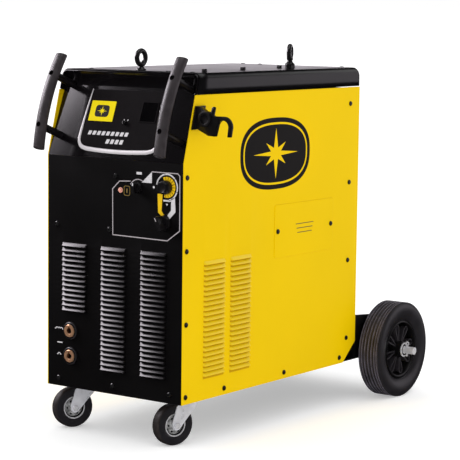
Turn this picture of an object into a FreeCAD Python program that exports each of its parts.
"""Wheeled step-controlled welding power source, as an assembly of separate sub-parts.

Frame of the written parts: millimetres, +Z up, front panel facing -Y, +X to the right seen from
the front. The origin is on the floor, under the centre of the bounding box.
Inside this script Y is measured from the flat front panel; save() shifts Y to the frame above.
"""
import FreeCAD, Part

import math
import os

Vector = FreeCAD.Vector

# ---------------------------------------------------------------- driving dimensions (mm)
FRONT_Y = -468.8            # where the flat front panel stands in the written frame

WIDTH = 415.0               # casing width over the side panels
DEPTH = 754.0               # front panel to rear edge of the side panels
SHEET = 2.0                 # casing sheet thickness
FIT = 0.2                   # gap between casing sheets that lie on each other
PANEL_BOTTOM = 110.5        # lower edge of the casing above the floor
BREAK_Z = 676.0             # height where the front starts to lean back
PANEL_TOP = 833.0           # upper edge of the side panels
LID_TOP = 881.0
LID_EDGE_R = 20.0           # bend radius of the lid's long edges
EDGE_LEAN = 14.9            # lean of the side panels' front edge, degrees
FACE_LEAN = 20.6            # lean of the recessed bezel face, degrees
HOOD_RIM = 4.5              # the bezel's lip shows this far in front of the lid
HOOD_BACK = 80.0            # the bezel's hood reaches back to here, under the lid
CHAMFER_RUN = 58.0          # cut-off lower rear corner of the side panels
CHAMFER_RISE = 50.0

HALF = WIDTH / 2.0
INNER = HALF - SHEET - FIT  # half width of what sits between the side panels
REAR_Y = DEPTH - 3.0        # outer face of the rear panel
TRAY_TOP = PANEL_BOTTOM + 5.0

LOUVRE_PITCH = 12.1
LOUVRE_PROUD = 7.0
LOUVRE_TALL = 7.8           # height of one hood
LOUVRE_WALL = 1.4
FRONT_LOUVRE_W = 78.0
FRONT_LOUVRE_TOP = 465.2
FRONT_LOUVRES = ((-121.0, 14), (0.0, 25), (121.0, 25))      # centre X, count
SIDE_LOUVRE_TOP = 441.6
SIDE_LOUVRE_COUNT = 23
SIDE_LOUVRES = ((80.5, 164.0), (187.5, 270.5))              # Y spans

SOCKET_X = -131.8
SOCKET_Z = (251.0, 189.0)
SOCKET_RING_R = 21.5
SOCKET_BORE_R = 7.0

MAIN_SWITCH = (73.5, 613.5)        # X, Z of the switch axes on the front panel
COARSE_SWITCH = (158.5, 619.3)
RANGE_SWITCH = (153.0, 536.0)
RANGE_TILT = -30.0                 # lean of the range selector's bar at rest, degrees
LAMP = (20.6, 604.0)
SPINDLE_R = 4.0
METER_KNOB = (9.0, 89.0)           # X and height up the bezel face of the meter selector

TRIM_HALF = 121.0                  # half width of the fascia's trim
ACCESS_COVER = (369.8, 634.8, 419.0, 552.0)        # Y span and Z span on the right panel

HANDLE_X = 183.0
GRIP_BOTTOM_S = -5.0               # grip ends, measured up the bezel face from the break line
GRIP_TOP_S = 234.5
GRIP_STAND = 63.0                  # grip axis in front of the bezel face, at the ends
GRIP_BOW = 15.0
GRIP_HALF_W = 14.5
GRIP_HALF_T = 12.2
POST_S = (50.1, 179.8)
POST_R = 9.0
POST_BORE_R = 3.6
POST_FOOT = (0.2, 2.0)             # the upper post stands on the start of the hood's cove

EYE_RING_R = 17.0                  # lifting eye: ring centre-line radius and bar radius
EYE_BAR_R = 5.2
EYE_RISE = 32.3                    # ring centre above the eye's seat
EYE_NUT = 10.0                     # height of the nut under the side lifting eye
EYE_NUT_R = 12.7
FRONT_EYE = (0.0, 100.0)
SIDE_EYE = (148.0, 515.0)
FRONT_EYE_TURN = 0.0
SIDE_EYE_TURN = 24.0

TORCH_Y = 41.0                     # front face of the torch rest's plate
TORCH_Z = 779.0                    # centre of its boss
TORCH_T = 12.0

CASTOR_R = 50.0
CASTOR_W = 32.0
CASTOR_TRAIL = 32.0
KINGPIN_X = 155.0
KINGPIN_Y = 77.0
CASTOR_TURN = {"right": -20.0, "left": -27.0}      # swivel at rest, degrees
CASTOR_AXLE_R = 4.0
CROWN_TOP = 104.4                  # top of the castor fork
CROWN_T = 3.4
LEG_GAP = 2.0                      # between castor tyre and fork leg
LEG_T = 2.6
RUNNING = 0.05                     # radial clearance of every running fit

WHEEL_R = 127.0
WHEEL_W = 69.0
WHEEL_Y = DEPTH + 130.7
WHEEL_X = 246.5                    # middle plane of each rear wheel
RIM_R = 79.0
HUB_BOSS_R = 21.0
AXLE_R = 10.0
AXLE_HALF = 314.0
PIN_OFFSET = 10.2                  # split pin beyond the wheel's outer face
TREAD_GROOVES = (26.0, 19.0, 10.0, 0.0, -10.0, -19.0, -26.0)

SHELF_BACK = 985.0                 # rear edge of the gas-cylinder shelf
SHELF_FLOOR = 145.0                # its surface, above the axle
CHEEK_T = 4.0

FAN_Z = 330.0                      # fan axis on the rear panel
FAN_R = 125.0
GLAND_Z = 740.0                    # row of the rear fittings
GLAND_X = -140.0
FEEDER_X = -60.0
BREAKER_X = 10.0
FITTING_Y = REAR_Y + 0.1           # seat of the rear fittings

COMPONENT_SHELF_Z = 470.0

SIDE_SCREWS = ((165.8, 126.5), (420.7, 126.5), (677.8, 126.5), (709.5, 175.0), (709.5, 381.4),
               (709.5, 585.9), (709.5, 790.3), (12.5, 643.4), (12.5, 471.8), (12.5, 299.7),
               (12.5, 128.0))
FRONT_SCREWS = ((-177.6, 508.8), (-13.5, 506.9), (4.6, 636.5), (-171.0, 130.6), (-2.0, 130.8),
                (170.0, 131.3))
ACCESS_SCREWS = ((382.7, 485.5), (621.9, 485.5))
REAR_SCREWS = ((180.0, 260.0), (180.0, 480.0), (180.0, 800.0))
LID_SCREWS = ((-148.0, 92.0), (88.0, 92.0), (160.0, 92.0), (-157.0, 739.0), (-101.0, 739.0),
              (160.0, 739.0))
LID_PLUGS = ((169.5, 126.0), (146.5, 313.5), (123.0, 504.5))
PLUG_HALF = 4.8
PLUG_TALL = 9.5

# ---------------------------------------------------------------- small helpers


def box(x0, x1, y0, y1, z0, z1):
    """Axis-aligned block between two corners."""
    return Part.makeBox(x1 - x0, y1 - y0, z1 - z0, Vector(x0, y0, z0))


def rod(radius, start, end):
    """Round bar between two points."""
    a = Vector(*start)
    b = Vector(*end)
    return Part.makeCylinder(radius, (b - a).Length, a, b - a)


def tube(outer, inner, start, end):
    """Round tube between two points."""
    return rod(outer, start, end).cut(rod(inner, start, end))


def prism(points, direction):
    """Extrude a closed outline of 3-D points along a vector."""
    corners = [Vector(*p) for p in points]
    face = Part.Face(Part.makePolygon(corners + [corners[0]]))
    return face.extrude(Vector(*direction))


def prism_x(outline, x0, x1):
    """Outline of (y, z) points extruded from x0 to x1."""
    return prism([(x0, y, z) for y, z in outline], (x1 - x0, 0, 0))


def prism_y(outline, y0, y1):
    """Outline of (x, z) points extruded from y0 to y1."""
    return prism([(x, y0, z) for x, z in outline], (0, y1 - y0, 0))


def prism_z(outline, z0, z1):
    """Outline of (x, y) points extruded from z0 to z1."""
    return prism([(x, y, z0) for x, y in outline], (0, 0, z1 - z0))


def hexagon_y(x, z, flats, y0, y1):
    """Hexagonal bar along Y."""
    reach = flats / math.sqrt(3.0)
    turns = [math.radians(60 * k) for k in range(6)]
    return prism_y([(x + reach * math.cos(t), z + reach * math.sin(t)) for t in turns], y0, y1)


def turned(profile, axis_point, axis):
    """Solid of revolution of a closed (radius, along) profile about an axis."""
    corners = [Vector(r, 0, h) for r, h in profile]
    face = Part.Face(Part.makePolygon(corners + [corners[0]]))
    solid = face.revolve(Vector(0, 0, 0), Vector(0, 0, 1), 360)
    solid.Placement = FreeCAD.Placement(
        Vector(*axis_point), FreeCAD.Rotation(Vector(0, 0, 1), Vector(*axis)))
    return solid


def on_face(shape):
    """Carry a shape from the bezel face's own frame (X, up the face, out of the face) to the model."""
    placed = shape.copy()
    placed.Placement = FreeCAD.Placement(
        Vector(0, 0, BREAK_Z), FreeCAD.Rotation(Vector(1, 0, 0), 90 - FACE_LEAN))
    return placed


def mirrored(shape):
    """Mirror image across the middle plane X = 0."""
    return shape.mirror(Vector(0, 0, 0), Vector(1, 0, 0))


def save(name, *shapes):
    """Write one node; every solid in it is a separate piece."""
    solids = [solid for shape in shapes for solid in shape.Solids]
    group = solids[0] if len(solids) == 1 else Part.makeCompound(solids)
    moved = group.copy()
    moved.translate(Vector(0, FRONT_Y, 0))
    bad = [solid for solid in moved.Solids if not solid.isValid()]
    print(name, len(moved.Solids), "solids", "INVALID" if bad else "ok")
    moved.exportStep("parts/" + name + ".step")


# ---------------------------------------------------------------- casing


def edge_y(z):
    """Y of the side panels' front edge at height z above the break line."""
    return (z - BREAK_Z) * math.tan(math.radians(EDGE_LEAN))


def face_y(z):
    """Y of the recessed bezel face at height z above the break line."""
    return (z - BREAK_Z) * math.tan(math.radians(FACE_LEAN))


def louvre_column(u0, u1, top, count, face, place):
    """Outer hoods and their hollows for one louvre column; place turns (u, out, z) into a prism."""
    hoods = []
    hollows = []
    root = face - 1.0
    deep = face - SHEET - 1.0
    crest = face + LOUVRE_PROUD
    inside = crest - LOUVRE_WALL
    for k in range(count):
        z_top = top - k * LOUVRE_PITCH
        z_low = z_top - LOUVRE_TALL
        crown = z_low + LOUVRE_TALL / 3
        hoods.append(place(u0, u1, [(root, z_top), (face, z_top), (crest, crown), (crest, z_low),
                                    (root, z_low)]))
        hollows.append(place(u0 + LOUVRE_WALL, u1 - LOUVRE_WALL,
                             [(deep, z_top - 2.4), (face, z_top - 2.4), (inside, crown - 1.2),
                              (inside, z_low - 1.0), (deep, z_low - 1.0)]))
    return hoods, hollows


def make_base_tray():
    tray = box(-INNER, INNER, 2.5, DEPTH - CHAMFER_RUN, TRAY_TOP - 3.0, TRAY_TOP)
    for side in (-1, 1):
        low, high = sorted((side * INNER, side * (INNER - SHEET)))
        tray = tray.fuse(box(low, high, 26.0, DEPTH - CHAMFER_RUN - 5.0, TRAY_TOP, TRAY_TOP + 29.0))
    return tray


def make_front_panel():
    panel = box(-INNER, INNER, 0.0, SHEET, PANEL_BOTTOM, BREAK_Z - 0.3)
    hoods = []
    hollows = []

    def place(u0, u1, section):
        return prism([(u0, -out, z) for out, z in section], (u1 - u0, 0, 0))

    for centre, count in FRONT_LOUVRES:
        outer, inner = louvre_column(centre - FRONT_LOUVRE_W / 2, centre + FRONT_LOUVRE_W / 2,
                                     FRONT_LOUVRE_TOP, count, 0.0, place)
        hoods += outer
        hollows += inner
    for side in (-1, 1):
        low, high = sorted((side * INNER, side * (INNER - SHEET)))
        hoods.append(box(low, high, SHEET, 25.0, PANEL_BOTTOM + 8.0, BREAK_Z - 8.0))
    panel = panel.fuse(hoods)
    holes = [rod(SOCKET_RING_R - 4.0, (SOCKET_X, -5, z), (SOCKET_X, 5, z)) for z in SOCKET_Z]
    holes += [rod(SPINDLE_R + 0.6, (x, -5, z), (x, 5, z))
              for x, z in (MAIN_SWITCH, COARSE_SWITCH, RANGE_SWITCH)]
    holes.append(rod(4.6, (LAMP[0], -5, LAMP[1]), (LAMP[0], 5, LAMP[1])))
    return panel.cut(hollows + holes)


def side_outline():
    """Outline of a side panel in (y, z)."""
    return [(0, PANEL_BOTTOM), (0, BREAK_Z), (edge_y(PANEL_TOP), PANEL_TOP), (DEPTH, PANEL_TOP),
            (DEPTH, PANEL_BOTTOM + CHAMFER_RISE), (DEPTH - CHAMFER_RUN, PANEL_BOTTOM)]


def make_side_panel():
    """Right side panel; the left one is its mirror image."""
    panel = prism_x(side_outline(), HALF - SHEET, HALF)
    hoods = []
    hollows = []

    def place(u0, u1, section):
        return prism([(out, u0, z) for out, z in section], (0, u1 - u0, 0))

    for y0, y1 in SIDE_LOUVRES:
        outer, inner = louvre_column(y0, y1, SIDE_LOUVRE_TOP, SIDE_LOUVRE_COUNT, HALF, place)
        hoods += outer
        hollows += inner
    return panel.fuse(hoods).cut(hollows)


def rounded_front(half_width, z0, z1, corner, y0, y1):
    """Block whose two upper corners are rounded in the front view."""
    block = box(-half_width, half_width, y0, y1, z0, z1)
    edges = [e for e in block.Edges
             if abs(e.BoundBox.YLength - (y1 - y0)) < 0.01 and e.BoundBox.ZMin > z1 - 0.01]
    return block.makeFillet(corner, edges)


def behind_edge(offset):
    """Block behind a plane parallel to the leaning front edge, offset back from it."""
    low = PANEL_TOP - 10.0
    top = LID_TOP + 10.0
    return prism_x([(edge_y(low) + offset, low), (DEPTH + 20.0, low), (DEPTH + 20.0, top),
                    (edge_y(top) + offset, top)], -HALF - 10.0, HALF + 10.0)


def make_front_bezel():
    """Leaning face with a cove up to the hood's lip; the hood tucks under the lid."""
    lean = math.radians(FACE_LEAN)
    up = (math.sin(lean), math.cos(lean))                  # up the face, as (y, z)
    out = (-math.cos(lean), math.sin(lean))                # out of the face
    ceiling = LID_TOP - 3.5
    lip = (edge_y(ceiling), ceiling)
    lip_s = lip[0] * up[0] + (lip[1] - BREAK_Z) * up[1]
    lip_d = lip[0] * out[0] + (lip[1] - BREAK_Z) * out[1]
    cove_r = 30.0
    start_s = lip_s - math.sqrt(2 * cove_r * lip_d - lip_d ** 2)
    start = (start_s * up[0], BREAK_Z + start_s * up[1])
    centre = (start[0] + cove_r * out[0], start[1] + cove_r * out[1])
    first = math.atan2(start[1] - centre[1], start[0] - centre[0])
    last = math.atan2(lip[1] - centre[1], lip[0] - centre[0])
    steps = 8
    cove = []
    for k in range(1, steps):
        t = first + (last - first) * k / steps
        cove.append((centre[0] + cove_r * math.cos(t), centre[1] + cove_r * math.sin(t)))

    hood_z = PANEL_TOP + 1.0
    rim = rounded_front(HALF, hood_z, LID_TOP, LID_EDGE_R, 20.0, HOOD_BACK)
    rim = rim.cut(behind_edge(HOOD_RIM))
    skin = SHEET + FIT
    hood = rounded_front(HALF - skin, hood_z, LID_TOP - skin, LID_EDGE_R - skin, 20.0, HOOD_BACK)
    hood = hood.fuse(rim)
    front_cut = prism_x([(edge_y(hood_z) - 60, hood_z - 1), (edge_y(hood_z - 1), hood_z - 1),
                         (edge_y(LID_TOP + 1), LID_TOP + 1), (edge_y(LID_TOP) - 60, LID_TOP + 1)],
                        -HALF - 1, HALF + 1)
    in_front = prism_x([(-60, BREAK_Z - 20), (face_y(BREAK_Z - 20), BREAK_Z - 20), start] + cove
                       + [lip, (edge_y(LID_TOP + 5), LID_TOP + 5), (-60, LID_TOP + 5)],
                       -HALF - 1, HALF + 1)
    cavity = rounded_front(HALF - 4.0, hood_z - 30, ceiling, LID_EDGE_R - 4.0, 0.0, HOOD_BACK)
    wall = 3.5
    back = prism_x([(face_y(hood_z - 30) + 5, hood_z - 30), (start[0] + 5, start[1] + 4),
                    (HOOD_BACK - 4, ceiling - 12), (HOOD_BACK - 4, ceiling - 4),
                    (HOOD_BACK + 1, ceiling - 4), (HOOD_BACK + 1, hood_z - 30)],
                   -HALF + 4.0, HALF - 4.0)
    hood = hood.cut(front_cut)
    hood = hood.cut(cavity.common(in_front)).cut(back)

    plate = prism_x([(0.2, BREAK_Z), (face_y(hood_z + 2), hood_z + 2),
                     (face_y(hood_z + 2) + wall + 1, hood_z + 2), (wall + 1, BREAK_Z)],
                    -INNER, INNER)
    holes = [on_face(rod(POST_R - 3.5, (x, s, -12), (x, s, 12)))
             for x in (-HANDLE_X, HANDLE_X) for s in POST_S]
    holes.append(on_face(rod(2.6, (*METER_KNOB, -12), (*METER_KNOB, 12))))
    return hood.fuse(plate).cut(holes)


def trim_outline(offset_side, offset_bottom):
    """Half outline (x >= 0) of the U drawn by the trim, bottom centre first."""
    side = TRIM_HALF + offset_side
    low = 21.0 - offset_bottom
    bow = 9.0
    points = [(0.0, low - bow * 0.5), (side * 0.4, low - bow * 0.36), (side * 0.78, low + bow * 0.2)]
    corner = 24.0
    centre = (side - corner, low + bow * 0.5 + corner)
    for k in range(0, 7):
        t = math.radians(-75 + 12.5 * k)
        points.append((centre[0] + corner * math.cos(t), centre[1] + corner * math.sin(t)))
    points.append((side, 95.0))
    points.append((side - 4.0, 135.0))
    points.append((side - 10.0, 168.0))
    return points


def both_sides(half):
    """Left and right halves of a symmetric open outline, left tip to right tip."""
    return [(-x, s) for x, s in reversed(half[1:])] + half


def make_fascia_panel():
    outline = both_sides(trim_outline(-3.2, -4.2))
    plate = prism([(x, s, 0.05) for x, s in outline], (0, 0, 1.4))
    shaft = rod(2.6, (*METER_KNOB, -1), (*METER_KNOB, 3))
    return on_face(plate.cut(shaft))


def make_fascia_trim():
    outer = both_sides(trim_outline(2.0, 5.0))
    inner = both_sides(trim_outline(-3.0, -4.0))
    inner[0] = (inner[0][0] - 3.4, inner[0][1])
    inner[-1] = (inner[-1][0] + 3.4, inner[-1][1])
    ring = outer + list(reversed(inner))
    return on_face(prism([(x, s, 0.05) for x, s in ring], (0, 0, 3.0)))


def make_display_window():
    frame = box(46.0, 97.0, 97.0, 146.0, 1.5, 3.0)
    glass = box(49.0, 94.0, 100.0, 143.0, 2.2, 3.1)
    return on_face(frame.cut(glass))


def make_top_cover():
    """Lid folded over the casing; its front edge leans with the side panels."""
    low = PANEL_TOP + 2.0
    outer = rounded_front(HALF, low, LID_TOP, LID_EDGE_R, 20.0, DEPTH)
    inner = rounded_front(HALF - SHEET, low - 5, LID_TOP - SHEET, LID_EDGE_R - SHEET,
                          15.0, DEPTH - SHEET)
    studs = [rod(6.4, (x, y, low), (x, y, LID_TOP + 1)) for x, y in (FRONT_EYE, SIDE_EYE)]
    return outer.common(behind_edge(HOOD_RIM + FIT)).cut([inner] + studs)


def make_access_cover():
    y0, y1, z0, z1 = ACCESS_COVER
    seat = HALF + 0.05
    face = HALF + 1.6
    plate = box(seat, face, y0, y1, z0, z1)
    upright = [e for e in plate.Edges if abs(e.BoundBox.XLength - (face - seat)) < 0.01
               and e.BoundBox.YLength < 0.01 and e.BoundBox.ZLength < 0.01]
    return plate.makeFillet(8.0, upright)


def make_rear_panel():
    inner = INNER - 0.2
    panel = box(-inner, inner, REAR_Y - SHEET, REAR_Y, PANEL_BOTTOM + 6.0, PANEL_TOP - 4.0)
    for side in (-1, 1):
        low, high = sorted((side * inner, side * (inner - SHEET)))
        panel = panel.fuse(box(low, high, REAR_Y - 90, REAR_Y - SHEET, PANEL_TOP - 600, PANEL_TOP - 8))
    holes = ((FAN_R - 5.0, 0.0, FAN_Z), (16.3, GLAND_X, GLAND_Z), (15.3, FEEDER_X, GLAND_Z),
             (6.5, BREAKER_X, GLAND_Z))
    cuts = [rod(radius, (x, REAR_Y - 5, z), (x, REAR_Y + 5, z)) for radius, x, z in holes]
    for k in range(10):
        z = 560.0 - 9.0 * k
        for x in (-110.0, 30.0):
            cuts.append(box(x, x + 80.0, REAR_Y - 5, REAR_Y + 5, z, z + 4.0))
    return panel.cut(cuts)


def screw(x, y, z, axis):
    """Pan-head screw: head outside the sheet, shank through it, pointing inwards along -axis."""
    ax = Vector(*axis)
    seat = Vector(x, y, z) + ax * 0.05
    profile = [(0, 0), (6.2, 0), (6.2, 1.6), (4.6, 3.2), (0, 3.6)]
    head = turned(profile, (seat.x, seat.y, seat.z), axis)
    cross = []
    for turn in (0, 90):
        slot = Part.makeBox(5.6, 1.2, 3.0, Vector(-2.8, -0.6, 2.2))
        slot.rotate(Vector(0, 0, 0), Vector(0, 0, 1), turn)
        slot.Placement = FreeCAD.Placement(
            seat, FreeCAD.Rotation(Vector(0, 0, 1), ax)).multiply(slot.Placement)
        cross.append(slot)
    return head.cut(cross)


def make_casing_screws():
    screws = []
    for y, z in SIDE_SCREWS:
        screws.append(screw(HALF, y, z, (1, 0, 0)))
        screws.append(screw(-HALF, y, z, (-1, 0, 0)))
    for y, z in ACCESS_SCREWS:
        screws.append(screw(HALF + 1.6, y, z, (1, 0, 0)))
    for x, z in FRONT_SCREWS:
        screws.append(screw(x, 0, z, (0, -1, 0)))
    for x, z in REAR_SCREWS:
        screws.append(screw(x, REAR_Y, z, (0, 1, 0)))
        screws.append(screw(-x, REAR_Y, z, (0, 1, 0)))
    screws += [screw(x, y, LID_TOP, (0, 0, 1)) for x, y in LID_SCREWS]
    return screws


def make_lid_plugs():
    """Square-headed plugs along the right side of the lid."""
    return [box(x - PLUG_HALF, x + PLUG_HALF, y - PLUG_HALF, y + PLUG_HALF, LID_TOP + 0.05,
                LID_TOP + PLUG_TALL) for x, y in LID_PLUGS]


# ---------------------------------------------------------------- handles and lifting gear


def grip_arc():
    """Centre-line of a grip in the bezel face's frame, as three points."""
    middle = (GRIP_BOTTOM_S + GRIP_TOP_S) / 2.0
    return [Vector(HANDLE_X, s, d) for s, d in
            ((GRIP_BOTTOM_S, GRIP_STAND), (middle, GRIP_STAND + GRIP_BOW), (GRIP_TOP_S, GRIP_STAND))]


def grip_stand(s):
    """Distance of the grip's centre-line from the face at height s."""
    half = (GRIP_TOP_S - GRIP_BOTTOM_S) / 2.0
    t = (s - (GRIP_BOTTOM_S + half)) / half
    return GRIP_STAND + GRIP_BOW * (1 - t * t)


def make_grip():
    """Right grip: bowed bar of oval section with rounded ends and two counterbored holes."""
    points = grip_arc()
    arc = Part.Arc(*points)
    path = Part.Wire([arc.toShape()])
    heading = Vector(*arc.tangent(arc.FirstParameter)[0])
    oval = Part.Ellipse(Vector(0, 0, 0), GRIP_HALF_W, GRIP_HALF_T).toShape()
    section = Part.Wire([oval])
    across = Vector(1, 0, 0)
    rotation = FreeCAD.Rotation(across, heading.cross(across), heading, "ZXY")
    section.Placement = FreeCAD.Placement(points[0], rotation)
    bar = path.makePipeShell([section], True, True)
    ends = [e for e in bar.Edges if e.BoundBox.YLength < 8.0 and e.BoundBox.XLength > 20.0]
    bar = bar.makeFillet(2.5, ends)
    cuts = []
    for s in POST_S:
        stand = grip_stand(s)
        cuts.append(rod(POST_BORE_R, (HANDLE_X, s, stand - 20), (HANDLE_X, s, stand + 20)))
        cuts.append(rod(5.6, (HANDLE_X, s, stand + 3), (HANDLE_X, s, stand + 20)))
        cuts.append(rod(POST_R + FIT, (HANDLE_X, s, stand - 20), (HANDLE_X, s, stand - 7.8)))
    return on_face(bar.cut(cuts))


def make_posts():
    posts = []
    for s, foot in zip(POST_S, POST_FOOT):
        post = tube(POST_R, POST_BORE_R, (HANDLE_X, s, foot), (HANDLE_X, s, grip_stand(s) - 8.0))
        posts.append(on_face(post))
    return posts


def make_handle_screws():
    """Socket-head screws through grip and post."""
    screws = []
    for s in POST_S:
        head_d = grip_stand(s) + 3.2
        head = rod(5.3, (HANDLE_X, s, head_d), (HANDLE_X, s, head_d + 5.0))
        head = head.cut(rod(2.6, (HANDLE_X, s, head_d + 2.0), (HANDLE_X, s, head_d + 6.0)))
        shank = rod(3.2, (HANDLE_X, s, -10.0), (HANDLE_X, s, head_d))
        screws.append(on_face(head.fuse(shank)))
    return screws


def make_eye(x, y, seat_z, turn):
    """Lifting eye: ring, tapered neck and round collar. The ring's plane is turned about Z."""
    ring_z = seat_z + EYE_RISE
    ring = Part.makeTorus(EYE_RING_R, EYE_BAR_R, Vector(0, 0, ring_z), Vector(1, 0, 0))
    neck = turned([(0, 3.0), (10.0, 3.0), (7.5, 8.0), (6.0, 13.0), (0, 13.0)], (0, 0, seat_z),
                  (0, 0, 1))
    collar = turned([(0, 0), (12.5, 0), (12.5, 4.0), (11.0, 5.4), (0, 5.4)], (0, 0, seat_z), (0, 0, 1))
    stud = rod(6.0, (0, 0, LID_TOP - SHEET - 12), (0, 0, seat_z + 1))
    eye = collar.fuse([neck, ring, stud])
    eye.rotate(Vector(0, 0, 0), Vector(0, 0, 1), turn)
    eye.translate(Vector(x, y, 0))
    return eye


def make_eye_nut():
    """Hexagon nut under the side lifting eye."""
    x, y = SIDE_EYE
    turns = [math.radians(60 * k + 20) for k in range(6)]
    corners = [(x + EYE_NUT_R * math.cos(t), y + EYE_NUT_R * math.sin(t)) for t in turns]
    nut = prism_z(corners, LID_TOP + 0.05, LID_TOP + EYE_NUT - 0.05)
    return nut.cut(rod(6.1, (x, y, LID_TOP - 1), (x, y, LID_TOP + EYE_NUT + 1)))


def make_torch_holder():
    """Torch rest on the right side: foot, wedge plate with boss, prong and down-turned hook."""
    x = HALF
    z = TORCH_Z
    back = TORCH_Y + TORCH_T
    foot_top = z + 29.0
    foot_low = z - 25.0
    slant = (foot_top - foot_low) * math.tan(math.radians(EDGE_LEAN))
    foot = prism_x([(TORCH_Y - 2, foot_top), (TORCH_Y - 2 - slant, foot_low), (back + 24 - slant, foot_low),
                    (back + 24, foot_top)], x + 0.05, x + 4.0)
    plate = prism_y([(x + 2, z + 29), (x + 14, z + 27), (x + 36, z + 14), (x + 53, z + 7),
                     (x + 66, z + 2), (x + 55, z - 39), (x + 37, z - 38), (x + 2, z - 22)],
                    TORCH_Y, back)
    boss = tube(18.0, 11.0, (x + 29, TORCH_Y - 5, z), (x + 29, back, z))
    boss = boss.fuse(rod(13.0, (x + 29, TORCH_Y - 1.5, z), (x + 29, back, z)))
    prong = prism_y([(x + 40, z + 6), (x + 46, z + 26), (x + 49, z + 29), (x + 52.5, z + 27),
                     (x + 52, z + 23), (x + 48, z + 6)], TORCH_Y + 2, back - 2)
    outer_r = 24.0
    inner_r = outer_r - 9.0
    centre_x = x + 78.0
    centre_z = z - 16.5
    arm = tube(outer_r, inner_r, (centre_x, TORCH_Y + 2, centre_z), (centre_x, back - 2, centre_z))
    arm = arm.cut(box(centre_x - 40, centre_x + 40, TORCH_Y - 5, back + 5, centre_z - 40, centre_z))
    bar = box(x + 49, centre_x, TORCH_Y + 2, back - 2, centre_z + outer_r - 8.5, centre_z + outer_r)
    tip = prism_y([(centre_x + inner_r, centre_z), (centre_x + outer_r, centre_z),
                   (centre_x + outer_r - 4.0, centre_z - 22.5),
                   (centre_x + outer_r - 11.5, centre_z - 22.5)], TORCH_Y + 2, back - 2)
    return foot.fuse([plate, boss, prong, arm, bar, tip])


# ---------------------------------------------------------------- controls


def knob_bar(x, z, half_w, half_h, front, foot, corner):
    """Upright grip bar of a switch knob, with rounded corners."""
    bar = box(x - half_w, x + half_w, -front, -foot, z - half_h, z + half_h)
    edges = [e for e in bar.Edges if e.BoundBox.YLength > front - foot - 0.1]
    return bar.makeFillet(corner, edges)


def make_main_knob():
    """Small rotary main switch: round skirt and a narrow bar."""
    x, z = MAIN_SWITCH
    skirt = turned([(0, 0), (13, 0), (13, 4), (11.5, 9), (0, 9)], (x, -1.0, z), (0, -1, 0))
    bar = knob_bar(x, z, 3.8, 13.0, 22.0, 9.0, 2.0)
    spindle = rod(SPINDLE_R, (x, -5, z), (x, 20, z))
    return skirt.fuse([bar, spindle])


def make_coarse_knob():
    """Round knob with a pointer arm towards -X."""
    x, z = COARSE_SWITCH
    body = turned([(0, 0), (16.5, 0), (16.5, 12), (15.0, 19), (12.5, 21), (0, 21)],
                  (x, -1.0, z), (0, -1, 0))
    arm = prism_y([(x - 4, z - 7), (x - 24, z - 7), (x - 29, z - 4.5), (x - 29, z + 4.5),
                   (x - 24, z + 7), (x - 4, z + 7)], -20.0, -6.0)
    spindle = rod(SPINDLE_R, (x, -5, z), (x, 20, z))
    return body.fuse([arm, spindle])


def make_range_knob():
    """Chunky two-position knob; its bar leans at rest."""
    x, z = RANGE_SWITCH
    skirt = turned([(0, 0), (18, 0), (18, 4), (15.5, 8), (0, 8)], (x, -1.0, z), (0, -1, 0))
    bar = knob_bar(x, z, 6.0, 18.0, 30.0, 8.5, 3.0)
    bar.rotate(Vector(x, 0, z), Vector(0, 1, 0), RANGE_TILT)
    spindle = rod(SPINDLE_R, (x, -5, z), (x, 20, z))
    return skirt.fuse([bar, spindle])


def make_meter_knob():
    x, s = METER_KNOB
    body = rod(5.0, (x, s, 1.9), (x, s, 9.5))
    rib = box(x - 1.0, x + 1.0, s - 4.6, s + 4.6, 9.0, 11.5)
    shaft = rod(2.2, (x, s, -8.0), (x, s, 2.0))
    return on_face(body.fuse([rib, shaft]))


def make_switch_bodies():
    bodies = []
    for x, z in (MAIN_SWITCH, COARSE_SWITCH, RANGE_SWITCH):
        block = box(x - 22, x + 22, SHEET + 0.1, 60, z - 22, z + 22)
        bodies.append(block.cut(rod(SPINDLE_R + RUNNING, (x, 0, z), (x, 22, z))))
    return bodies


def make_pilot_lamp():
    x, z = LAMP
    lens = turned([(0, 0), (4.2, 0), (4.2, 8.0), (6.5, 8.0), (6.5, 10.0), (4.8, 12.6), (0, 13.6)],
                  (x, 7.9, z), (0, -1, 0))
    return lens


def make_socket_body(z):
    """Round insulated body of a welding socket, flange outside the front panel."""
    profile = [(15.7, -26), (17.2, -26), (17.2, 0.05), (SOCKET_RING_R, 0.05), (SOCKET_RING_R, 5.0),
               (SOCKET_RING_R - 2.0, 7.5), (15.7, 7.5)]
    return turned(profile, (SOCKET_X, 0, z), (0, -1, 0))


def make_socket_insert(z):
    """Brass insert with a blind bore and its locking groove."""
    body = rod(15.5, (SOCKET_X, 26, z), (SOCKET_X, -9.5, z))
    bore = rod(SOCKET_BORE_R, (SOCKET_X, 18, z), (SOCKET_X, -12, z))
    notch = box(SOCKET_X - 2.0, SOCKET_X + 2.0, -12, -2, z, z + 10.0)
    stud = rod(6.0, (SOCKET_X, 26, z), (SOCKET_X, 44, z))
    return body.cut([bore, notch]).fuse(stud)


def make_cable_gland():
    """Mains inlet: hexagon body, dome nut and clear bore."""
    x = GLAND_X
    z = GLAND_Z
    seat = FITTING_Y
    hexagon = hexagon_y(x, z, 38.0, seat, seat + 8)
    sleeve = rod(16.0, (x, seat - 16, z), (x, seat + 8, z))
    dome = turned([(0, 0), (17.5, 0), (17.5, 12), (12.5, 19), (0, 19)], (x, seat + 8, z), (0, 1, 0))
    bore = rod(9.0, (x, seat - 20, z), (x, seat + 30, z))
    return hexagon.fuse([sleeve, dome]).cut(bore)


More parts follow.
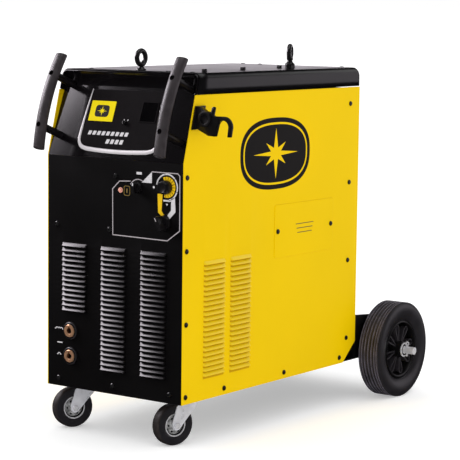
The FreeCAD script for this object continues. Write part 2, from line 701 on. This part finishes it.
def make_feeder_socket():
    """Round multi-pole socket for the wire feeder's control lead."""
    x = FEEDER_X
    z = GLAND_Z
    seat = FITTING_Y
    flange = box(x - 18, x + 18, seat, seat + 3, z - 18, z + 18)
    shell = tube(15.0, 12.6, (x, seat - 12, z), (x, seat + 14, z))
    core = rod(12.7, (x, seat - 12, z), (x, seat + 4, z))
    turns = [math.radians(60 * k) for k in range(6)]
    pins = [rod(1.2, (x + 7 * math.cos(t), seat + 3, z + 7 * math.sin(t)),
                (x + 7 * math.cos(t), seat + 10, z + 7 * math.sin(t))) for t in turns]
    opening = rod(14.9, (x, seat - 1, z), (x, seat + 4, z))
    return flange.cut(opening).fuse([shell, core] + pins)


def make_breaker_body():
    x = BREAKER_X
    z = GLAND_Z
    seat = FITTING_Y
    collar = turned([(4.6, 0), (9.0, 0), (9.0, 3.0), (7.5, 4.5), (4.6, 4.5)], (x, seat, z), (0, 1, 0))
    barrel = tube(6.2, 4.6, (x, seat - 10, z), (x, seat + 1, z))
    block = box(x - 12, x + 12, seat - 40, seat - 10, z - 14, z + 14)
    return collar.fuse([barrel, block])


def make_breaker_button():
    return turned([(0, 0), (4.2, 0), (4.2, 14.0), (3.4, 15.2), (0, 15.2)],
                  (BREAKER_X, FITTING_Y - 9.6, GLAND_Z), (0, 1, 0))


# ---------------------------------------------------------------- inside


def make_component_shelf():
    shelf_z = COMPONENT_SHELF_Z
    shelf = box(-INNER + 3, INNER - 3, 70, 640, shelf_z, shelf_z + 2.5)
    legs = [box(side * (INNER - 4) - 1, side * (INNER - 4) + 1, y, y + 40, TRAY_TOP + 32.0, shelf_z + 1)
            for side in (-1, 1) for y in (300, 560)]
    return shelf.fuse(legs)


def make_transformer():
    """Three-limb core on the tray and its three windings."""
    floor = TRAY_TOP + 0.1
    core = box(-150, 150, 300, 420, floor, floor + 290)
    windows = [box(x0, x0 + 60, 299, 421, floor + 55, floor + 235) for x0 in (-90, 30)]
    core = core.cut(windows)
    coils = []
    for x in (-120, 0, 120):
        winding = box(x - 56, x + 56, 268, 452, floor + 62, floor + 228)
        limb = box(x - 30.5, x + 30.5, 299.5, 420.5, floor, floor + 290)
        coils.append(winding.cut(limb))
    return core, coils


def make_choke():
    floor = TRAY_TOP + 0.1
    core = box(-110, 60, 530, 610, floor, floor + 150)
    core = core.cut(box(-70, 20, 529, 611, floor + 35, floor + 115))
    coil = box(-60, 10, 505, 635, floor + 112, floor + 172)
    coil = coil.cut(box(-61, 11, 529.5, 610.5, floor + 114.5, floor + 150.5))
    return core, coil


def make_rectifier_stack():
    """Aluminium heat sink with six press-fit diode cans on its plate, one milled piece here."""
    low = COMPONENT_SHELF_Z + 4.0
    top = low + 166.0
    base = box(-120, 100, 120, 132, low, top)
    fins = [box(-120 + 11 * k, -116 + 11 * k, 131, 190, low, top) for k in range(21)]
    cans = [rod(11, (-90 + 75 * i, 121, low + 41 + 80 * j), (-90 + 75 * i, 100, low + 41 + 80 * j))
            for i in range(3) for j in range(2)]
    return base.fuse(fins + cans)


def make_contactor():
    low = COMPONENT_SHELF_Z + 2.6
    return box(40, 130, 360, 440, low, low + 87.4)


def make_fan():
    motor = rod(38.0, (0, REAR_Y - 100, FAN_Z), (0, REAR_Y - 52, FAN_Z))
    strut = [box(-3, 3, REAR_Y - 84, REAR_Y - 78, FAN_Z + 30, FAN_Z + 118),
             box(-3, 3, REAR_Y - 84, REAR_Y - 78, FAN_Z - 118, FAN_Z - 30),
             box(30, 118, REAR_Y - 84, REAR_Y - 78, FAN_Z - 3, FAN_Z + 3),
             box(-118, -30, REAR_Y - 84, REAR_Y - 78, FAN_Z - 3, FAN_Z + 3)]
    cowl = tube(FAN_R - 2, FAN_R - 5, (0, REAR_Y - 84, FAN_Z), (0, REAR_Y - SHEET - 0.1, FAN_Z))
    cowl = cowl.fuse([box(-3, 3, REAR_Y - 84, REAR_Y - 78, FAN_Z + s * 119 - 2, FAN_Z + s * 119 + 2)
                      for s in (-1, 1)])
    shaft = rod(4.0, (0, REAR_Y - 52, FAN_Z), (0, REAR_Y - 20, FAN_Z))
    motor = motor.fuse(strut + [shaft, cowl])
    hub = tube(30.0, 4.0 + RUNNING, (0, REAR_Y - 48, FAN_Z), (0, REAR_Y - 22, FAN_Z))
    blades = []
    for k in range(5):
        blade = box(26, 108, REAR_Y - 36, REAR_Y - 33.5, FAN_Z - 24, FAN_Z + 24)
        blade.rotate(Vector(60, REAR_Y - 35, FAN_Z), Vector(1, 0, 0), 24)
        blade.rotate(Vector(0, 0, FAN_Z), Vector(0, 1, 0), 72 * k)
        blades.append(blade)
    return motor, hub.fuse(blades)


def make_fan_guard():
    """Wire guard over the rear air outlet: rings and spokes."""
    y = REAR_Y + 3.0
    wires = [Part.makeTorus(r, 1.6, Vector(0, y, FAN_Z), Vector(0, 1, 0))
             for r in (24, 41, 58, 75, 92, 109, 124)]
    for turn in range(0, 180, 45):
        t = math.radians(turn + 22.5)
        dx = 126 * math.cos(t)
        dz = 126 * math.sin(t)
        wires.append(rod(1.6, (dx, y - 1.2, FAN_Z + dz), (-dx, y - 1.2, FAN_Z - dz)))
    return wires[0].fuse(wires[1:])


# ---------------------------------------------------------------- running gear


def castor_frame(side):
    """Wheel centre and directions (axle, forward) of a castor at rest; side is 'left' or 'right'."""
    turn = math.radians(CASTOR_TURN[side])
    sign = 1 if side == "right" else -1
    forward = Vector(-math.sin(turn), math.cos(turn), 0)        # from the wheel to the kingpin
    axle = Vector(math.cos(turn), math.sin(turn), 0)
    centre = Vector(sign * KINGPIN_X, KINGPIN_Y, CASTOR_R) - forward * CASTOR_TRAIL
    return centre, axle, forward


def castor_place(shape, side):
    """Carry a castor part from its own frame (X axle, Y towards the kingpin) to the model."""
    centre, axle, forward = castor_frame(side)
    placed = shape.copy()
    placed.Placement = FreeCAD.Placement(
        centre, FreeCAD.Rotation(axle, forward, Vector(0, 0, 1), "XYZ")).multiply(shape.Placement)
    return placed


def make_castor_plates():
    """Top plate, swivel race and kingpin of both castors."""
    plate_low = CROWN_TOP + 4.2
    race_low = CROWN_TOP + 0.5
    under = CROWN_TOP - CROWN_T
    plates = []
    for side in (-1, 1):
        x = side * KINGPIN_X
        plate = box(x - 42, x + 42, KINGPIN_Y - 38, KINGPIN_Y + 38, plate_low, TRAY_TOP - 3.2)
        race = turned([(0, 0), (25, 0), (29, 2.0), (29, 4.6), (0, 4.6)], (x, KINGPIN_Y, race_low),
                      (0, 0, 1))
        pin = rod(6.0, (x, KINGPIN_Y, under - 2.0), (x, KINGPIN_Y, race_low + 1.0))
        head = rod(9.0, (x, KINGPIN_Y, under - 3.3), (x, KINGPIN_Y, under - 0.4))
        plates.append(plate.fuse([race, pin, head]))
    return plates


def make_castor_fork():
    """Pressed fork in the castor's own frame: crown disc, two tapered legs and axle bosses."""
    top = CROWN_TOP - CASTOR_R
    leg_in = CASTOR_W / 2 + LEG_GAP
    leg_out = leg_in + LEG_T
    crown = rod(26.0, (0, CASTOR_TRAIL, top - CROWN_T), (0, CASTOR_TRAIL, top))
    crown = crown.fuse(box(-leg_out, leg_out, 8, 56, top - CROWN_T, top))
    legs = []
    for sign in (-1, 1):
        x0, x1 = sorted((sign * leg_in, sign * leg_out))
        leg = prism_x([(-11, 4), (6, top), (56, top), (53, top - 14), (10, -7.5)], x0, x1)
        legs.append(leg)
        legs.append(rod(12.0, (x0, 0, 0), (x1, 0, 0)))
    hole = rod(6.0 + RUNNING, (0, CASTOR_TRAIL, top - 10), (0, CASTOR_TRAIL, top + 10))
    bores = rod(CASTOR_AXLE_R + FIT, (-40, 0, 0), (40, 0, 0))
    return crown.fuse(legs).cut([hole, bores])


def make_castor_axle():
    """Hexagon bolt and nut that carry a castor wheel."""
    leg_out = CASTOR_W / 2 + LEG_GAP + LEG_T
    reach = 13.0 / math.sqrt(3.0)
    corners = [(reach * math.cos(math.radians(60 * k)), reach * math.sin(math.radians(60 * k)))
               for k in range(6)]
    head = prism_x(corners, leg_out + 0.05, leg_out + 5.0)
    nut = prism_x(corners, -leg_out - 6.0, -leg_out - 0.05)
    return head.fuse([nut, rod(CASTOR_AXLE_R, (-leg_out - 8, 0, 0), (leg_out + 1, 0, 0))])


def both_faces(half_profile):
    """Closed turning profile from its (radius, along) half on the +along side."""
    return half_profile + [(r, -along) for r, along in reversed(half_profile)]


def make_castor_tyre():
    w = CASTOR_W / 2
    r = CASTOR_R
    half = [(r - 14.5, w - 3), (r - 11.5, w - 1), (r - 5.5, w), (r - 2.0, w - 3), (r - 0.3, w - 7),
            (r, w - 10)]
    return turned(both_faces(half), (0, 0, 0), (1, 0, 0))


def make_castor_core():
    w = CASTOR_W / 2
    rim = CASTOR_R - 14.6
    half = [(CASTOR_AXLE_R + RUNNING, w + 1.5), (9, w + 1.5), (11, w - 4), (rim - 7, w - 7),
            (rim - 5, w - 2.5), (rim, w - 2.5)]
    profile = [(r, -along) for r, along in half] + list(reversed(half))
    return turned(profile, (0, 0, 0), (1, 0, 0))


def make_rear_tyre():
    """Solid tyre with fine grooves round a nearly square tread, about its own X axis."""
    w = WHEEL_W / 2
    r = WHEEL_R
    side = [(RIM_R + 0.05, w - 9), (RIM_R + 5, w - 5), (94, w - 1.5), (108, w), (r - 9, w - 0.6),
            (r - 4, w - 2.6), (r - 1, w - 5.4)]
    treads = []
    for x in TREAD_GROOVES:
        treads += [(r, x + 1.2), (r - 2.2, x + 0.4), (r - 2.2, x - 0.4), (r, x - 1.2)]
    profile = side + treads + [(radius, -x) for radius, x in reversed(side)]
    return turned(profile, (0, 0, 0), (1, 0, 0))


def make_rear_hub():
    """Moulded hub: rim ring, dished web with eight ribs on each side, and a bored boss."""
    w = WHEEL_W / 2
    bore = AXLE_R + RUNNING
    ring = turned([(RIM_R - 9, -w + 8), (RIM_R - 4, -w + 5), (RIM_R, -w + 9), (RIM_R, w - 9),
                   (RIM_R - 4, w - 5), (RIM_R - 9, w - 8)], (0, 0, 0), (1, 0, 0))
    web = tube(RIM_R - 8, HUB_BOSS_R - 1, (-4, 0, 0), (4, 0, 0))
    boss = turned([(bore, -w + 1), (HUB_BOSS_R, -w + 1), (HUB_BOSS_R + 3, 0), (HUB_BOSS_R, w - 1),
                   (bore, w - 1)], (0, 0, 0), (1, 0, 0))
    ribs = []
    for k in range(8):
        rib = prism_z([(3, 18), (20, 18), (12, RIM_R - 8), (3, RIM_R - 8)], -2.0, 2.0)
        rib = rib.fuse(prism_z([(-20, 18), (-3, 18), (-3, RIM_R - 8), (-12, RIM_R - 8)], -2.0, 2.0))
        rib.rotate(Vector(0, 0, 0), Vector(1, 0, 0), 45 * k)
        ribs.append(rib)
    hub = ring.fuse([web, boss] + ribs)
    return hub.cut(rod(bore, (-60, 0, 0), (60, 0, 0)))


def make_cylinder_shelf():
    """Black gas-cylinder shelf behind the casing, with the cheeks that carry the rear axle."""
    joint_y = REAR_Y + 1.0
    front_y = DEPTH - CHAMFER_RUN + 4.0
    cheek_x = INNER - 6.4
    cheek = prism_x([(joint_y, PANEL_BOTTOM + 119), (joint_y, PANEL_BOTTOM + 4),
                     (front_y, PANEL_BOTTOM + 4), (front_y, PANEL_BOTTOM), (SHELF_BACK, PANEL_BOTTOM),
                     (SHELF_BACK, 168), (WHEEL_Y + 40, 214)], cheek_x, cheek_x + CHEEK_T)
    wide = INNER - 3.0
    floor = box(-wide, wide, joint_y, SHELF_BACK, SHELF_FLOOR - 3.0, SHELF_FLOOR)
    back = box(-wide, wide, joint_y, joint_y + 3.0, PANEL_BOTTOM, 190)
    lip = box(-wide, wide, SHELF_BACK - 3, SHELF_BACK, SHELF_FLOOR - 25, SHELF_FLOOR + 22)
    apron = box(-wide, wide, front_y, joint_y + 3.0, PANEL_BOTTOM, PANEL_BOTTOM + 1.8)
    shelf = floor.fuse([back, lip, apron, cheek, mirrored(cheek)])
    axle_way = rod(AXLE_R + FIT, (-AXLE_HALF, WHEEL_Y, WHEEL_R), (AXLE_HALF, WHEEL_Y, WHEEL_R))
    return shelf.cut(axle_way)


def make_rear_axle():
    axle = rod(AXLE_R, (-AXLE_HALF, WHEEL_Y, WHEEL_R), (AXLE_HALF, WHEEL_Y, WHEEL_R))
    pin_x = WHEEL_X + WHEEL_W / 2 + PIN_OFFSET
    holes = [rod(2.2, (s * pin_x, WHEEL_Y, WHEEL_R - 15), (s * pin_x, WHEEL_Y, WHEEL_R + 15))
             for s in (-1, 1)]
    collar_x = INNER + 0.7
    collars = [tube(14.0, AXLE_R - 0.5, (s * collar_x, WHEEL_Y, WHEEL_R),
                    (s * (collar_x + 5.0), WHEEL_Y, WHEEL_R)) for s in (-1, 1)]
    return axle.cut(holes).fuse(collars)


def make_axle_washers():
    seat = WHEEL_X + WHEEL_W / 2 + 0.5
    return [tube(19.0, AXLE_R + 0.1, (s * seat, WHEEL_Y, WHEEL_R), (s * (seat + 3.0), WHEEL_Y, WHEEL_R))
            for s in (-1, 1)]


def make_split_pins():
    pin_x = WHEEL_X + WHEEL_W / 2 + PIN_OFFSET
    pins = []
    for s in (-1, 1):
        shank = rod(2.0, (s * pin_x, WHEEL_Y, WHEEL_R - 17), (s * pin_x, WHEEL_Y, WHEEL_R + 14))
        loop = Part.makeTorus(4.4, 1.7, Vector(s * pin_x, WHEEL_Y, WHEEL_R + 17.5), Vector(0, 1, 0))
        pins.append(shank.fuse(loop))
    return pins


# ---------------------------------------------------------------- write every node


def main():
    os.makedirs("parts", exist_ok=True)
    save("base_tray", make_base_tray())
    save("front_panel", make_front_panel())
    side = make_side_panel()
    save("right_side_panel", side)
    save("left_side_panel", mirrored(side))
    save("front_bezel", make_front_bezel())
    save("fascia_panel", make_fascia_panel())
    save("fascia_trim", make_fascia_trim())
    save("display_window", make_display_window())
    save("top_cover", make_top_cover())
    save("access_cover", make_access_cover())
    save("rear_panel", make_rear_panel())
    save("casing_screws", *make_casing_screws())
    save("lid_plugs", *make_lid_plugs())

    grip = make_grip()
    save("right_handle_grip", grip)
    save("left_handle_grip", mirrored(grip))
    posts = make_posts()
    save("handle_posts", *posts, *[mirrored(p) for p in posts])
    screws = make_handle_screws()
    save("handle_screws", *screws, *[mirrored(s) for s in screws])
    save("front_lifting_eye", make_eye(*FRONT_EYE, LID_TOP + 0.05, FRONT_EYE_TURN))
    save("side_lifting_eye", make_eye(*SIDE_EYE, LID_TOP + EYE_NUT, SIDE_EYE_TURN))
    save("eye_nut", make_eye_nut())
    save("torch_holder", make_torch_holder())

    save("main_switch_knob", make_main_knob())
    save("coarse_selector_knob", make_coarse_knob())
    save("range_selector_knob", make_range_knob())
    save("meter_selector_knob", make_meter_knob())
    save("switch_bodies", *make_switch_bodies())
    save("pilot_lamp", make_pilot_lamp())
    save("socket_bodies", *[make_socket_body(z) for z in SOCKET_Z])
    save("socket_inserts", *[make_socket_insert(z) for z in SOCKET_Z])
    save("cable_gland", make_cable_gland())
    save("feeder_socket", make_feeder_socket())
    save("breaker_body", make_breaker_body())
    save("breaker_button", make_breaker_button())

    save("component_shelf", make_component_shelf())
    core, coils = make_transformer()
    save("transformer_core", core)
    save("transformer_coils", *coils)
    core, coil = make_choke()
    save("choke_core", core)
    save("choke_coil", coil)
    save("rectifier_stack", make_rectifier_stack())
    save("contactor", make_contactor())
    motor, rotor = make_fan()
    save("fan_motor", motor)
    save("fan_rotor", rotor)
    save("fan_guard", make_fan_guard())

    save("castor_plates", *make_castor_plates())
    fork = make_castor_fork()
    bolt = make_castor_axle()
    tyre = make_castor_tyre()
    core = make_castor_core()
    for name in ("left", "right"):
        save(name + "_castor_fork", castor_place(fork, name))
        save(name + "_castor_axle", castor_place(bolt, name))
        save(name + "_castor_tyre", castor_place(tyre, name))
        save(name + "_castor_core", castor_place(core, name))

    tyre = make_rear_tyre()
    hub = make_rear_hub()
    for name, sign in (("left", -1), ("right", 1)):
        for kind, shape in (("tyre", tyre), ("hub", hub)):
            placed = shape.copy()
            placed.translate(Vector(sign * WHEEL_X, WHEEL_Y, WHEEL_R))
            save(name + "_rear_" + kind, placed)
    save("rear_axle", make_rear_axle())
    save("axle_washers", *make_axle_washers())
    save("split_pins", *make_split_pins())
    save("cylinder_shelf", make_cylinder_shelf())


main()
